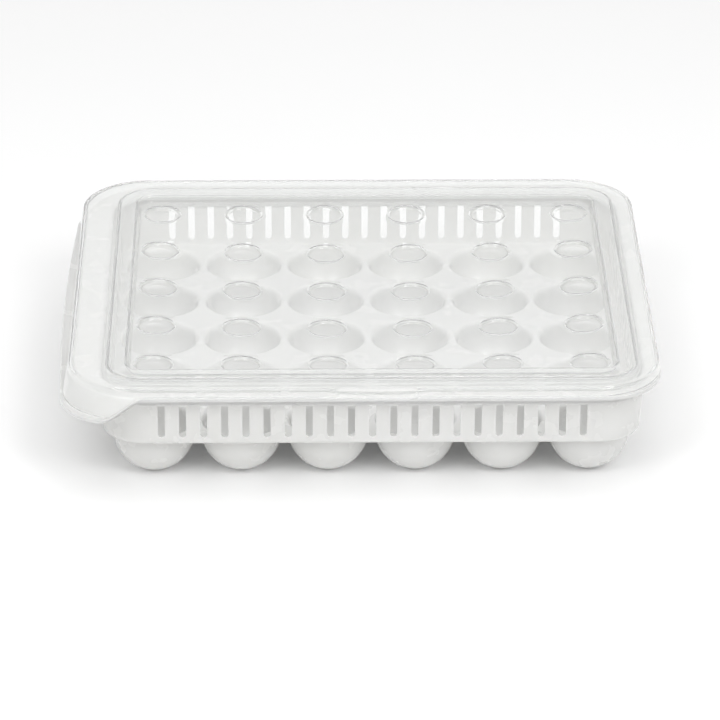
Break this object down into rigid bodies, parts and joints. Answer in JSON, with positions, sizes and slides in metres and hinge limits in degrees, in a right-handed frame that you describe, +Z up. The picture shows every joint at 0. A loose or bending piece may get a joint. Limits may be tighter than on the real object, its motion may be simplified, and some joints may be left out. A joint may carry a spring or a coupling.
{
  "type": "egg holder tray",
  "caption": "Covered egg storage tray: a white moulded tray of hanging round cups with slotted walls, under a clear lift-off lid with a drooping grip at one end.",
  "frame": {"origin": "under the middle of the box's footprint, on the plane that the cups' feet stand on", "axes": "+X along the long side, away from the drooping grip; +Y to the back, away from the lift tab; +Z up"},
  "size_m": [0.347, 0.2968, 0.07],
  "materials": {
    "tray_plastic": "smooth white polypropylene, softly glossy",
    "lid_plastic": "clear polished plastic"
  },
  "bodies": {
    "tray": {"tray_deck": "tray_plastic", "tray_wall": "tray_plastic", "tray_rim": "tray_plastic", "egg_cup_r1_c1": "tray_plastic", "egg_cup_r1_c2": "tray_plastic", "egg_cup_r1_c3": "tray_plastic", "egg_cup_r1_c4": "tray_plastic", "egg_cup_r1_c5": "tray_plastic", "egg_cup_r1_c6": "tray_plastic", "egg_cup_r2_c1": "tray_plastic", "egg_cup_r2_c2": "tray_plastic", "egg_cup_r2_c3": "tray_plastic", "egg_cup_r2_c4": "tray_plastic", "egg_cup_r2_c5": "tray_plastic", "egg_cup_r2_c6": "tray_plastic", "egg_cup_r3_c1": "tray_plastic", "egg_cup_r3_c2": "tray_plastic", "egg_cup_r3_c3": "tray_plastic", "egg_cup_r3_c4": "tray_plastic", "egg_cup_r3_c5": "tray_plastic", "egg_cup_r3_c6": "tray_plastic", "egg_cup_r4_c1": "tray_plastic", "egg_cup_r4_c2": "tray_plastic", "egg_cup_r4_c3": "tray_plastic", "egg_cup_r4_c4": "tray_plastic", "egg_cup_r4_c5": "tray_plastic", "egg_cup_r4_c6": "tray_plastic", "egg_cup_r5_c1": "tray_plastic", "egg_cup_r5_c2": "tray_plastic", "egg_cup_r5_c3": "tray_plastic", "egg_cup_r5_c4": "tray_plastic", "egg_cup_r5_c5": "tray_plastic", "egg_cup_r5_c6": "tray_plastic"},
    "lid": {"lid_panel": "lid_plastic", "lid_rim": "lid_plastic", "lid_lift_tab": "lid_plastic"}
  },
  "joints": [
    {"name": "lid_lift", "type": "slide", "parent": "tray", "child": "lid", "axis": [0, 0, 1], "range_m": [0, 0.1]}
  ]
}
